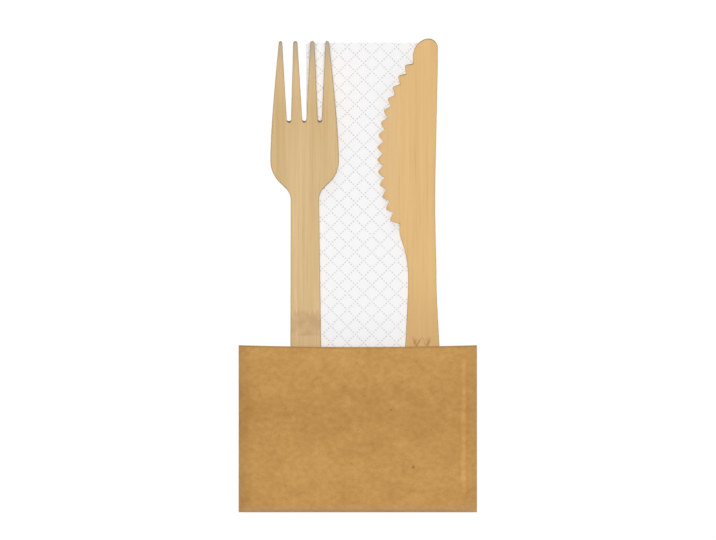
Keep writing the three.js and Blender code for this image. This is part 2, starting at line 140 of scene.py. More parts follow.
def grid_faces(shape, start=0, flip=False):
    """Quads between the points of a grid that is stored row after row."""
    index = start + np.arange(shape[0] * shape[1]).reshape(shape)
    corners = [index[:-1, :-1], index[:-1, 1:], index[1:, 1:], index[1:, :-1]]
    return np.stack(corners[::-1] if flip else corners, -1).reshape(-1, 4)


def stack_grids(grids):
    """Points and quads of several grids, each given as (x, y, z, flip)."""
    points, faces, start = [], [], 0
    for x, y, z, flip in grids:
        points.append(np.stack(np.broadcast_arrays(x, y, z), -1).reshape(-1, 3))
        faces.append(grid_faces(np.shape(x), start, flip))
        start += np.size(x)
    return np.concatenate(points), np.concatenate(faces)


def slab_grids(x, y, low, high):
    """The six sides of a thin sheet between two heights over one grid."""
    z = np.stack([low, high])
    xs, ys = np.stack([x, x]), np.stack([y, y])
    sides = [(xs[:, i], ys[:, i], z[:, i], flip) for i, flip in ((0, False), (-1, True))]
    ends = [(xs[:, :, i], ys[:, :, i], z[:, :, i], flip) for i, flip in ((0, True), (-1, False))]
    return [(x, y, low, True), (x, y, high, False), *sides, *ends]


def pocket_grids():
    """Outer and inner faces of the two panels, and the cut rim that joins them at the mouth."""
    grids, rims = [], []
    for height, is_front in ((front_height, True), (back_height, False)):
        edges = []
        for inset in (0, PAPER):
            x, y = pocket_grid(inset)
            z = height(x, y, inset)
            grids.append((x, y, z, is_front == bool(inset)))
            edges.append((x[-1], y[-1], z[-1]))
        rims.append((*(np.stack(pair) for pair in zip(*edges)), not is_front))
    return grids + rims


def flap_grids():
    """The foot flap: a trapezoid from the foot fold up, one ply behind the back panel."""
    foot = roll_places(FOOT_ROLL, FOOT_CREASE, count=12)
    up = np.concatenate([foot, np.linspace(FOOT_ROLL, FLAP_HEIGHT, num=14)[1:]])
    root = fold_x - FLAP_SETBACK
    right = root - roll_places(SIDE_ROLL - FLAP_SETBACK, SIDE_CREASE, count=12)
    across = np.concatenate([-right, np.linspace(-right[-1], right[-1], num=24)[1:-1], right[::-1]])
    share, rise = np.meshgrid(across / root, up)
    x = share * (root - FLAP_MITRE * rise / FLAP_HEIGHT)
    y = foot_y + rise
    opened = fullness(x, y, 0)
    outer = seam_z * (1 - opened)
    return slab_grids(x, y, outer, outer + (PAPER - GLUE_GAP) * opened)


def tab_grids():
    """The seam tab: a strip with slanted ends inside the right fold, one ply under the front panel."""
    across, along = np.meshgrid(np.linspace(1, TAB_ROOT, num=14), np.linspace(0, 1, num=30))
    slant = across * TAB_WIDTH
    x = fold_x - slant
    low, high = foot_y + FOOT_ROLL + slant, mouth_y - TAB_SETBACK - slant
    y = low + along * (high - low)
    top = front_height(x, y, PAPER) - GLUE_GAP
    return slab_grids(x, y, top - PAPER * fullness(x, y, PAPER), top)


def add_piece(name, points, faces, weld=0.0, crease_angle=np.pi):
    """A smooth mesh object at the origin, but sharp along edges that turn by more than the crease angle.

    Points closer than weld become one.
    """
    mesh = bpy.data.meshes.new(name)
    mesh.from_pydata(points.tolist(), [], [face for part in faces for face in part.tolist()])
    if weld:
        work = bmesh.new()
        work.from_mesh(mesh)
        bmesh.ops.remove_doubles(work, verts=work.verts, dist=weld)
        work.to_mesh(mesh)
        work.free()
    mesh.shade_smooth()
    mesh.set_sharp_from_angle(angle=crease_angle)
    piece = bpy.data.objects.new(name, mesh)
    bpy.context.scene.collection.objects.link(piece)
    return piece


def add_node(tree, kind, inputs=None, **settings):
    """A shader node with its settings, and its inputs fed by values or by other nodes' sockets."""
    node = tree.nodes.new(kind)
    for key, value in settings.items():
        setattr(node, key, value)
    for key, value in (inputs or {}).items():
        if isinstance(value, bpy.types.NodeSocket):
            tree.links.new(value, node.inputs[key])
        else:
            node.inputs[key].default_value = value
    return node


def next_node(kind, inputs, **settings):
    """A shader node in the tree of the sockets that feed it."""
    trees = [value.id_data for value in inputs.values() if isinstance(value, bpy.types.NodeSocket)]
    return add_node(trees[0], kind, inputs, **settings)


def calc(operation, *values):
    """The result of a Math node."""
    return next_node("ShaderNodeMath", dict(enumerate(values)), operation=operation).outputs[0]


def vector_calc(operation, first, second, output="Vector"):
    """The result of a Vector Math node."""
    return next_node("ShaderNodeVectorMath", {0: first, 1: second}, operation=operation).outputs[output]


def product(first, *others):
    """Several values multiplied by each other."""
    for other in others:
        first = calc("MULTIPLY", first, other)
    return first


def off_from(value, middle):
    """How far a value lies from a middle one, to either side."""
    return calc("ABSOLUTE", calc("SUBTRACT", value, middle))


def split(vector):
    """A vector's X, Y and Z."""
    return next_node("ShaderNodeSeparateXYZ", {0: vector}).outputs


def ramp(value, low, high, out_low=0.0, out_high=1.0):
    """A value taken smoothly from one range to another and held at its ends."""
    inputs = {"Value": value, "From Min": low, "From Max": high, "To Min": out_low, "To Max": out_high}
    return next_node("ShaderNodeMapRange", inputs, interpolation_type="SMOOTHSTEP").outputs["Result"]


def noise(vector, stretch, detail, seed):
    """Noise whose grains have the given number per metre along X, Y and Z."""
    scaled = vector_calc("MULTIPLY", vector, stretch)
    inputs = {"Vector": scaled, "W": seed, "Scale": 1.0, "Detail": detail}
    return next_node("ShaderNodeTexNoise", inputs, noise_dimensions="4D").outputs["Fac"]


def mix_noises(vector, kinds):
    """A tone of 0.5 plus each noise's distance from 0.5 times its share, and the noises themselves.

    A kind of noise is given by its grains per metre, detail, seed and share.
    """
    tone, values = 0.5, []
    for stretch, detail, seed, share in kinds:
        value = noise(vector, stretch, detail, seed)
        tone = calc("ADD", tone, calc("MULTIPLY_ADD", value, share, -share / 2))
        values.append(value)
    return tone, values


def tint(mask, under, over):
    """A colour with another one laid over it by a mask."""
    inputs = {0: mask, 6: under, 7: over}
    return next_node("ShaderNodeMix", inputs, data_type="RGBA").outputs[2]


def srgb(red, green, blue):
    """Scene colour of an sRGB colour from 0 to 255."""
    share = np.array([red, green, blue]) / 255
    linear = np.where(share <= 0.04045, share / 12.92, ((share + 0.055) / 1.055) ** 2.4)
    return (*linear.tolist(), 1.0)


def new_material(name, roughness, specular=0.5):
    """A material with one Principled shader of the given roughness and gloss."""
    material = bpy.data.materials.new(name)
    material.use_nodes = True
    shader = material.node_tree.nodes["Principled BSDF"]
    shader.inputs["Roughness"].default_value = roughness
    shader.inputs["Specular IOR Level"].default_value = specular
    return material, material.node_tree, shader


def dress(shader, colour, height, strength, depth):
    """Feeds a shader with a colour, and with the normal of a fine relief."""
    inputs = {"Strength": strength, "Distance": depth, "Height": height}
    links = shader.id_data.links
    links.new(colour, shader.inputs["Base Color"])
    links.new(next_node("ShaderNodeBump", inputs).outputs["Normal"], shader.inputs["Normal"])


KRAFT_DARK = srgb(160, 112, 51)
KRAFT_LIGHT = srgb(214, 168, 100)
KRAFT_SPECK = srgb(112, 74, 32)
KRAFT_CUT = srgb(150, 110, 62)
# paler, greyer tone near the folds: wear, and at the foot painted light on its shaded roll
KRAFT_WEAR_AND_LIGHT = srgb(189, 153, 120)
KRAFT_NOISES = (  # clouds, mottle and fibres: grains per metre, detail, seed and share in the tone
    ((110, 150, 150), 2.0, 3.0, 0.48),
    ((440, 560, 560), 3.0, 7.0, 0.6),
    ((1500, 2800, 2800), 2.0, 11.0, 0.36),
)
KRAFT_RELIEF = (0.5, 0.05 * MM)  # strength and depth
KRAFT_WAVE_SHADE_BANDS = (42 * MM, 14.5 * MM, 0.07)  # painted light and shade in bands that follow the front's waves: length, first crest above the foot, and tone
FRONT_ZONE = (seam_z, 1.2 * seam_z)  # heights over which the front's own marks come in
BACK_ZONE = (0.6 * seam_z, 0.4 * seam_z)  # and those of the back
RIDGE_HIGHLIGHT_AND_SHADE = (  # painted highlight and shade along the tab's ridge: distance from the fold, half width and tone
    (4.85 * MM, 1.3 * MM, 0.2),  # paler line over the tab's edge: rubbed paper and a painted highlight on the ridge's lit flank
    (3.6 * MM, 0.9 * MM, -0.05),  # darker line beside it: painted shade on the ridge's far flank
)
RIDGE_CORE = 0.1  # share of the half width in which a line is full
RIDGE_FADE = 1.5 * MM  # half the length over which the lines end
RIDGE_CLOUDS = (0.35, 0.6, 0.6, 1.2)  # range of the clouds, and the lines' strengths
FLAP_EDGE_SHADE = (0.5 * MM, 0.1 * MM, -0.25)  # painted shade along the flap's edge: half width, half core, tone
FOLD_SHADE = (6 * MM, -0.2)  # beside the left fold: width and tone
WEAR_AND_LIGHT_REACH = (3.4 * MM, 1.2 * MM)  # from a fold, where the paler tone of wear, and at the foot of painted light, begins and is full
# paler at the foot fold: wear, and painted light on its shaded roll
FOOT_WEAR_AND_LIGHT = 0.3
SIDE_WEAR = 0.12
CUT_DEPTH = 1.0 * MM  # of the darker cut edge, below the mouth
CUT_SHARE = 0.6
SPECKS = (  # place on the front panel, radius and strength
    (20.2 * MM, -70.0 * MM, 0.62 * MM, 0.52),
    (12.1 * MM, -49.1 * MM, 0.45 * MM, 0.45),
    (26.7 * MM, -56.1 * MM, 0.36 * MM, 0.35),
    (0.1 * MM, -56.4 * MM, 0.36 * MM, 0.3),
    (2.3 * MM, -44.0 * MM, 0.36 * MM, 0.3),
    (-32.4 * MM, -38.2 * MM, 0.36 * MM, 0.3),
)
SPECK_EDGE = (1.5, 0.4, 0.0)  # in radii, where a speck begins and is full, and its least strength
FLECK_CELLS = 420.0  # cells per metre, some of which hold a small fleck
FLECK_EDGE = (0.22, 0.08)  # in cells, where a fleck begins and is full
FLECK_PICK = (0.86, 1.0, 0.0, 0.25)  # range of the cells' chance, and the flecks' strengths


def ridge_highlight_and_shade(x, y, z, cloud):
    """Tones of the lines along the tab's edge on the front, a paler one, rubbed and with a painted
    highlight, and a painted shade beside it, which end with the tab and vary in clouds.
    """
    shown = product(ramp(z, *FRONT_ZONE), ramp(cloud, *RIDGE_CLOUDS))
    tone = 0.0
    for from_fold, half, change in RIDGE_HIGHLIGHT_AND_SHADE:
        off = off_from(x, fold_x - from_fold)
        ridge_tone = product(shown, ramp(off, half, RIDGE_CORE * half, 0.0, change))
        tab_low, tab_high = foot_y + FOOT_ROLL + from_fold, mouth_y - TAB_SETBACK - from_fold
        for end, fade in ((tab_low, RIDGE_FADE), (tab_high, -RIDGE_FADE)):
            ridge_tone = product(ridge_tone, ramp(y, end - fade, end + fade))
        tone = calc("ADD", ridge_tone, tone)
    return tone


def flap_edge_shade(x, y, z):
    """Painted shade along the flap's edge on the back, from the trapezoid's own distance, near nought."""
    half, core, change = FLAP_EDGE_SHADE
    above = calc("SUBTRACT", y, foot_y + FLAP_HEIGHT)
    slant = FLAP_MITRE / FLAP_HEIGHT
    beside = calc("MULTIPLY_ADD", above, slant, calc("ABSOLUTE", x))
    beside = calc("SUBTRACT", beside, fold_x - FLAP_SETBACK - FLAP_MITRE)
    beside = calc("DIVIDE", beside, np.hypot(1, slant))
    off = calc("ABSOLUTE", calc("MAXIMUM", above, beside))
    return product(ramp(off, half, core, 0.0, change), ramp(z, *BACK_ZONE))


def kraft_specks(place):
    """Strength of the dark specks: small flecks in some of a scatter's cells, and larger ones by place."""
    cells = next_node("ShaderNodeTexVoronoi", {"Vector": place, "Scale": FLECK_CELLS}).outputs
    chance = ramp(split(cells["Color"])[0], *FLECK_PICK)
    speck = product(ramp(cells["Distance"], *FLECK_EDGE), chance)
    for speck_x, speck_y, radius, strength in SPECKS:
        away = vector_calc("DISTANCE", place, (speck_x, speck_y, sleeve_high.z), "Value")
        spot = ramp(product(away, 1 / radius), *SPECK_EDGE, strength)
        speck = calc("MAXIMUM", speck, spot)
    return speck


def kraft_material():
    """Brown paper: cloudy tones and specks, painted light and shade in faint bands, along the tab's ridge,
    beside the left fold and at the flap's edge, folds paler with wear and at the foot with painted light,
    and a darker cut edge at the mouth.
    """
    material, tree, shader = new_material("kraft paper", roughness=0.9, specular=0.25)
    place = add_node(tree, "ShaderNodeTexCoord").outputs["Object"]
    x, y, z = split(place)
    tone, (cloud, mottle, fibre) = mix_noises(place, KRAFT_NOISES)
    # painted light and shade: bands across the front, where its waves turn towards and away from the lamps
    length, crest, change = KRAFT_WAVE_SHADE_BANDS
    turn = calc("MULTIPLY_ADD", y, 2 * np.pi / length, -2 * np.pi * (foot_y + crest) / length)
    tone = calc("MULTIPLY_ADD", calc("COSINE", turn), change, tone)
    width, change = FOLD_SHADE
    tone = calc("ADD", tone, ramp(x, -fold_x, width - fold_x, change, 0.0))
    # painted highlight and shade along the tab's ridge, and painted shade at the flap's edge on the back
    tone = calc("ADD", tone, ridge_highlight_and_shade(x, y, z, cloud))
    tone = calc("ADD", tone, flap_edge_shade(x, y, z))
    colour = tint(tone, KRAFT_DARK, KRAFT_LIGHT)
    colour = tint(kraft_specks(place), colour, KRAFT_SPECK)
    # paler near the folds: wear, and at the foot painted light on its shaded roll
    from_foot = calc("SUBTRACT", y, foot_y)
    from_side = calc("SUBTRACT", fold_x, calc("ABSOLUTE", x))
    wear_and_light = calc("MAXIMUM", ramp(from_foot, *WEAR_AND_LIGHT_REACH, 0.0, FOOT_WEAR_AND_LIGHT),
                ramp(from_side, *WEAR_AND_LIGHT_REACH, 0.0, SIDE_WEAR))
    colour = tint(wear_and_light, colour, KRAFT_WEAR_AND_LIGHT)
    square = product(x, x)
    mouth = calc("MULTIPLY_ADD", square, MOUTH_DIP / fold_x**2, mouth_y - MOUTH_DIP)
    cut = ramp(calc("SUBTRACT", mouth, y), CUT_DEPTH, 0.0, 0.0, CUT_SHARE)
    colour = tint(cut, colour, KRAFT_CUT)
    dress(shader, colour, calc("ADD", mottle, fibre), *KRAFT_RELIEF)
    return material


sleeve_points, sleeve_faces = stack_grids(pocket_grids() + flap_grids() + tab_grids())
sleeve = add_piece("kraft_sleeve", sleeve_points, [sleeve_faces], WELD, PAPER_CREASE)
sleeve.data.materials.append(kraft_material())
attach(sleeve, "root")
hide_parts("sleeve")

# Napkin: one square of white tissue with an embossed diamond of dots. It is folded once lengthwise and
# three times across, so that eight double leaves lie on each other, pressed flat in the sleeve and a
# little looser beyond its mouth.

LEAF_LEVELS = np.array([0, 7, 4, 3, 2, 5, 6, 1])  # place of each leaf in the stack, along the sheet
TISSUE = 0.08 * MM
RAW_EDGE_STEP = 0.8 * MM  # how far the sheet's cut edges stay back from its folds
NAPKIN_SEAT_Z = 0.8 * MM  # underside of the stack in the sleeve
NAPKIN_EASE = 16 * MM  # length beyond the mouth over which the stack springs open
LEAF_STAGGER = 0.3 * MM  # how unevenly the leaves end
STAGGER_TURN = 2.6  # radians by which that changes from leaf to leaf
FOLD_PRESS = 0.2  # how far a fold reaches out, as a share of a round half-turn
DIAMOND_SIDE = 4.24 * MM
DIAMOND_AT = (-3.9 * MM, 11.5 * MM)  # a crossing of the lattice on the top leaf
DOTS_PER_SIDE = 4.0
DOT_RADIUS = 0.33 * MM
DOT_EDGE = (1.35, 0.5)  # in radii, where a dot begins and is deepest
DOT_CREPE = (0.3, 0.65, 0.3, 1.0)  # range of the crepe, and the dots' strengths
CREPE_TONE = 0.12
CREPE_HEIGHT = 0.2  # of the crepe, for a dot's depth of 1
TISSUE_RELIEF = (0.6, 0.08 * MM)
TISSUE_WHITE = srgb(249, 249, 250)
TISSUE_SHADE = srgb(241, 241, 242)
# painted shade in the pressed dots
TISSUE_DOT_SHADE = srgb(206, 206, 207)

napkin_low, napkin_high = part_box("napkin")
leaf_count = len(LEAF_LEVELS)
loose_leaf = napkin_high.z / leaf_count


def napkin_section():
    """Across the stack, the sheet's path: straight leaves joined by flat half-turns about shared centres.

    Returns the place across, the level in leaves, and the leaf number along the path.
    """
    run, turn = 16, 9  # points along a leaf and round a fold
    last = leaf_count - 1
    upper = leaf_count // 2
    left = napkin_low.x + loose_leaf * (FOLD_PRESS * last / 2 + 0.5)
    x, level, leaf = [], [], []
    for i, (here, after) in enumerate(zip(LEAF_LEVELS, [*LEAF_LEVELS[1:], 0])):
        partner = LEAF_LEVELS[i - 1] if i % 2 == 0 else after
        widest = (upper - 1) / 2 if max(here, partner) >= upper else 0.5
        is_cut = i in (0, last)
        right = napkin_high.x - (RAW_EDGE_STEP if is_cut else loose_leaf * (FOLD_PRESS * widest + 0.5))
        start, end = (right, left) if i % 2 == 0 else (left, right)
        x.append(np.linspace(start, end, run))
        level.append(np.full(run, float(here)))
        leaf.append(np.full(run, float(i)))
        if i < last:
            side = -1 if i % 2 == 0 else 1
            angle = np.linspace(-np.pi / 2, np.pi / 2, turn)[1:-1]
            radius = (after - here) / 2
            x.append(end + side * FOLD_PRESS * abs(radius) * loose_leaf * np.cos(angle))
            level.append((here + after) / 2 + radius * np.sin(angle))
            leaf.append(i + np.linspace(0, 1, turn)[1:-1])
    return np.concatenate(x), np.concatenate(level), np.concatenate(leaf)


def napkin_sheet():
    """The folded sheet as points over (path across, length out and back), and its flat coordinates."""
    x, level, leaf = napkin_section()
    sideways, upwards = np.gradient(x), np.gradient(level * loose_leaf)
    length = np.hypot(sideways, upwards)
    normal_x, normal_z = -upwards / length, sideways / length
    offset = loose_leaf / 4
    out = np.concatenate([
        np.linspace(napkin_low.y, mouth_y, num=10)[:-1],
        np.linspace(mouth_y, mouth_y + NAPKIN_EASE, num=12)[:-1],
        np.linspace(mouth_y + NAPKIN_EASE, napkin_high.y - offset, num=22),
    ])
    angle = np.linspace(0, np.pi, num=7)[1:-1]
    y = np.concatenate([out, out[-1] + offset * np.sin(angle), out[::-1]])
    side = np.concatenate([np.ones_like(out), np.cos(angle), -np.ones_like(out)])
    base = NAPKIN_SEAT_Z * (1 - smooth_step(mouth_y, mouth_y + NAPKIN_EASE, y))
    pitch = (napkin_high.z - base) / leaf_count
    stagger = LEAF_STAGGER * (0.5 - 0.5 * np.cos(STAGGER_TURN * leaf)) * (leaf != np.argmax(LEAF_LEVELS))
    share = (y - napkin_low.y) / (napkin_high.y - napkin_low.y)
    px = x[:, None] + normal_x[:, None] * side * pitch / 4
    py = y[None, :] - stagger[:, None] * share
    pz = base + (level[:, None] + 0.5) * pitch + normal_z[:, None] * side * pitch / 4
    across = np.concatenate([[0], np.cumsum(np.hypot(np.diff(x), np.diff(level * loose_leaf)))])
    along = np.concatenate([[0], np.cumsum(np.hypot(np.diff(y), np.diff(side * offset)))])
    flat = np.stack(np.meshgrid(across, along, indexing="ij"), -1)
    return np.stack([px, py, pz], -1), flat


def dot_distance(flat, centre):
    """Distance from the nearest dot, in its radii: rows of dots both ways along a lattice on its corner."""
    scale = 1 / DIAMOND_SIDE
    turned = next_node("ShaderNodeMapping", {
        "Vector": vector_calc("SUBTRACT", flat, (*centre, 0)),
        "Rotation": (0, 0, np.pi / 4),
        "Scale": (scale, scale, scale),
    })
    lattice = split(turned.outputs[0])
    distances = []
    for across, along in ((0, 1), (1, 0)):
        beside = calc("SUBTRACT", calc("FRACT", calc("ADD", lattice[across], 0.5)), 0.5)
        row = calc("FRACT", calc("MULTIPLY_ADD", lattice[along], DOTS_PER_SIDE, 0.5))
        row = calc("DIVIDE", calc("SUBTRACT", row, 0.5), DOTS_PER_SIDE)
        square = calc("MULTIPLY_ADD", beside, beside, product(row, row))
        distances.append(calc("SQRT", square))
    return product(calc("MINIMUM", *distances), DIAMOND_SIDE / DOT_RADIUS)


def napkin_material(centre):
    """White tissue: fine crepe, with the dots of the lattice as small pressed pits, greyed by painted
    shade.
    """
    material, tree, shader = new_material("napkin tissue", roughness=0.95)
    flat = add_node(tree, "ShaderNodeUVMap", uv_map="flat sheet").outputs["UV"]
    place = add_node(tree, "ShaderNodeTexCoord").outputs["Object"]
    crepe = noise(place, (900, 2600, 2600), detail=3.0, seed=5.0)
    dot = product(ramp(dot_distance(flat, centre), *DOT_EDGE), ramp(crepe, *DOT_CREPE))
    tone = calc("MULTIPLY_ADD", crepe, CREPE_TONE, 0.5 - CREPE_TONE / 2)
    ground = tint(tone, TISSUE_SHADE, TISSUE_WHITE)
    height = calc("SUBTRACT", product(crepe, CREPE_HEIGHT), dot)
    # the dots are pits in the relief, and greyed with painted shade in the colour
    dress(shader, tint(dot, ground, TISSUE_DOT_SHADE), height, *TISSUE_RELIEF)
    return material


napkin_points, napkin_flat = napkin_sheet()
napkin = add_piece("napkin_sheet", napkin_points.reshape(-1, 3), [grid_faces(napkin_points.shape[:2])])
flat_map = napkin.data.uv_layers.new(name="flat sheet")
corner_points = np.zeros(len(napkin.data.loops), int)
napkin.data.loops.foreach_get("vertex_index", corner_points)
flat_map.data.foreach_set("uv", napkin_flat.reshape(-1, 2)[corner_points].ravel())
crossing_at = (*DIAMOND_AT, napkin_high.z)
nearest = np.argmin(np.abs(napkin_points - crossing_at).sum(-1))
crossing_flat = napkin_flat.reshape(-1, 2)[nearest] + DIAMOND_AT - napkin_points.reshape(-1, 3)[nearest, :2]
napkin.data.materials.append(napkin_material(crossing_flat))
wall = napkin.modifiers.new("tissue", "SOLIDIFY")
wall.thickness = TISSUE
wall.offset = 0
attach(napkin, "root")
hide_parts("napkin")

# Fork: stamped from a flat bamboo strip with four tapering tines, then pressed under heat so that the
# head turns up and dishes a little. Its cut edges are sanded round.

FORK_LENGTH = 170 * MM
FORK_THICKNESS = 2 * MM
FORK_END_HALF = 6 * MM
FORK_END_ROUND = 4.5 * MM
NECK_HALF = 5.175 * MM
NECK_RADIUS = 6 * MM
HEAD_HALF = 12.55 * MM
SHOULDER_RADIUS = 11 * MM
SHOULDER_Y = 126.4 * MM
TINE_LENGTH = 29.1 * MM
SLOT_SPACING = 5.67 * MM
SLOT_ROOT_RADIUS = 0.8 * MM
OUTER_TIP = (8.5 * MM, 0.65 * MM)  # place from the axis, and radius
INNER_TIP = (3.1 * MM, 0.8 * MM)
BEND_Y = 117 * MM
TIP_RISE = 12.3 * MM
HEAD_DISH = 0.7 * MM
FORK_LEAN = np.radians(0.34)
EDGE_ROUND = 0.4 * MM  # how far the sanded edges are rounded
SLOT_ROUND = 0.3 * MM  # and those at the roots of the slots
SLOT_REACH = (2 * MM, 1 * MM)  # above the roots, where that begins and is full
SLOTS_HALF = 1.3 * SLOT_SPACING  # half the width that holds the three roots
FACE_STEP = 1.3 * MM  # from point to point inside a face
FACE_CLEAR = 0.55  # least distance of those points from the face's edge, in steps
TIP_SANDED = 0.95  # share of the dark end grain, with its painted shade, that is sanded off the tips
TIP_SANDING = (6 * MM, 3 * MM)  # from the tips, where that begins and is full
BAMBOO_NOISES = (  # broad tones, streaks and fine grain: grains per metre, detail and share in the tone
    ((220, 8, 220), 2.0, 1.2),
    ((1100, 20, 1100), 3.0, 1.1),
    ((3200, 60, 3200), 2.0, 0.7),
)
BUNDLE_RANGE = (0.6, 0.74)  # of their noise, where bundles of fibres begin and are full
BUNDLE_SHARE = 0.28
EDGE_SHARES = {"cut edge": 0.12, "end grain and shade": 0.8}  # how dark the sawn edges are, along and across fibres; across them also painted shade, as at the roots of the slots
BAMBOO_RELIEF = (0.25, 0.05 * MM)
# dark end grain, partly painted shade on the walls at the roots of the slots and at the tips
END_GRAIN_AND_SHADE = srgb(88, 62, 40)
FORK_LIGHT = srgb(218, 187, 137)
FORK_DARK = srgb(196, 163, 111)
FORK_BUNDLE = srgb(170, 130, 84)
FORK_NODE = srgb(184, 148, 104)
# painted light on the upturned tines
FORK_TINE_LIGHT = srgb(226, 206, 176)
FORK_TIP = srgb(184, 165, 139)
NODE_FOOT = (-22.6 * MM, -21.6 * MM)  # where the node's band comes in
NODE_TOP = (-12.8 * MM, -14.6 * MM)  # where it ends and is full
NODE_FRAY = 12 * MM  # how unevenly it ends
NODE_PATCHES = (0.3, 0.62, 0.3, 1.0)  # range of the patches' noise, and their strengths
NODE_SHARE = 0.75
HANDLE_SHARE = 0.2  # of the node's brown, below it
TINE_LIGHT_SHARE = 0.15
TIP_GREY = 12 * MM  # length over which the tines grow greyer
TIP_FRAY = 4 * MM
TIP_SHARE = 0.82

fork_low, fork_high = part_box("fork")


def line(start, end, count):
    """Even points from start up to, and without, end."""
    return np.linspace(start, end, count, endpoint=False)


def arc(centre, radii, start, end, count):
    """Points on an ellipse's arc between two angles in degrees, without the last."""
    angle = np.radians(np.linspace(start, end, count, endpoint=False))
    return np.array(centre) + np.array(radii) * np.stack([np.cos(angle), np.sin(angle)], -1)


def bezier(start, pull_start, pull_end, end, count):
    """Points on a cubic curve between two ends and their two pulls, without the last."""
    t = np.linspace(0, 1, count, endpoint=False)[:, None]
    ends = (1 - t) ** 3 * np.array(start) + t**3 * np.array(end)
    return ends + 3 * (1 - t) ** 2 * t * np.array(pull_start) + 3 * (1 - t) * t**2 * np.array(pull_end)


def fork_outline():
    """Right half from the handle's end to the middle slot, and its mirror image, anticlockwise."""
    slope = np.sqrt(0.5)
    flank = SHOULDER_Y - (HEAD_HALF - SHOULDER_RADIUS) - SHOULDER_RADIUS / slope
    neck_y = flank + NECK_HALF + NECK_RADIUS - NECK_RADIUS / slope
    neck = np.array([NECK_HALF + NECK_RADIUS, neck_y])
    shoulder = np.array([HEAD_HALF - SHOULDER_RADIUS, SHOULDER_Y])
    root_y = FORK_LENGTH - TINE_LENGTH + SLOT_ROOT_RADIUS
    outer_x, outer_r = OUTER_TIP
    inner_x, inner_r = INNER_TIP
    outer_y, inner_y = FORK_LENGTH - outer_r, FORK_LENGTH - inner_r
    reach = (outer_y - SHOULDER_Y) / 4
    taper = (HEAD_HALF - outer_x - outer_r) / (outer_y - SHOULDER_Y - reach)
    slot, middle = np.array([SLOT_SPACING, root_y]), np.array([0, root_y])
    across = np.array([SLOT_ROOT_RADIUS, 0])
    half = np.concatenate([
        arc((0, FORK_END_ROUND), (FORK_END_HALF, FORK_END_ROUND), -90, 0, count=16),
        line((FORK_END_HALF, FORK_END_ROUND), (NECK_HALF, neck_y), count=70),
        arc(neck, NECK_RADIUS, 180, 135, count=10),
        line(neck + NECK_RADIUS * np.array([-slope, slope]),
             shoulder + SHOULDER_RADIUS * np.array([slope, -slope]), count=4),
        arc(shoulder, SHOULDER_RADIUS, -45, 0, count=14),
        bezier((HEAD_HALF, SHOULDER_Y), (HEAD_HALF, SHOULDER_Y + reach),
               (outer_x + outer_r + taper * reach, outer_y - reach), (outer_x + outer_r, outer_y),
               count=48),
        arc((outer_x, outer_y), outer_r, 0, 180, count=12),
        line((outer_x - outer_r, outer_y), slot + across, count=34),
        arc(slot, SLOT_ROOT_RADIUS, 0, -180, count=14),
        line(slot - across, (inner_x + inner_r, inner_y), count=34),
        arc((inner_x, inner_y), inner_r, 0, 180, count=12),
        line((inner_x - inner_r, inner_y), middle + across, count=34),
        arc(middle, SLOT_ROOT_RADIUS, 0, -90, count=7),
        [(0, root_y - SLOT_ROOT_RADIUS)],
    ])
    return np.concatenate([half, half[-2:0:-1] * (-1, 1)])


def fork_rounding(outline):
    """How far each point's edge is rounded: less at the roots of the slots than elsewhere."""
    x, y = outline.T
    begin, full = (FORK_LENGTH - TINE_LENGTH + above for above in SLOT_REACH)
    in_slot = smooth_step(begin, full, y) * (np.abs(x) < SLOTS_HALF) * (y > SHOULDER_Y)
    return EDGE_ROUND + (SLOT_ROUND - EDGE_ROUND) * in_slot


def inside(points, outline):
    """Which points lie in a closed outline: a ray to the right crosses it an odd number of times."""
    (x, y), (a, b) = points.T[:, :, None], outline.T[:, None]
    c, d = np.roll(outline, -1, 0).T[:, None]
    spans = (b > y) != (d > y)
    crossing = a + (y - b) * (c - a) / np.where(d == b, 1, d - b)
    return (spans & (x < crossing)).sum(1) % 2 == 1


def face_grid(outline, ring, start):
    """Points of an even grid over the outline, one column of it at start, that lie well inside a ring."""
    (low_x, low_y), (high_x, high_y) = outline.min(0), outline.max(0)
    columns = np.arange(np.ceil((low_x - start) / FACE_STEP), (high_x - start) / FACE_STEP)
    rows = np.arange(low_y, high_y, FACE_STEP)
    grid = np.stack(np.meshgrid(start + FACE_STEP * columns, rows), -1).reshape(-1, 2)
    grid = grid[inside(grid, ring)]
    return grid[np.linalg.norm(grid[:, None] - ring[None], axis=2).min(1) > FACE_CLEAR * FACE_STEP]


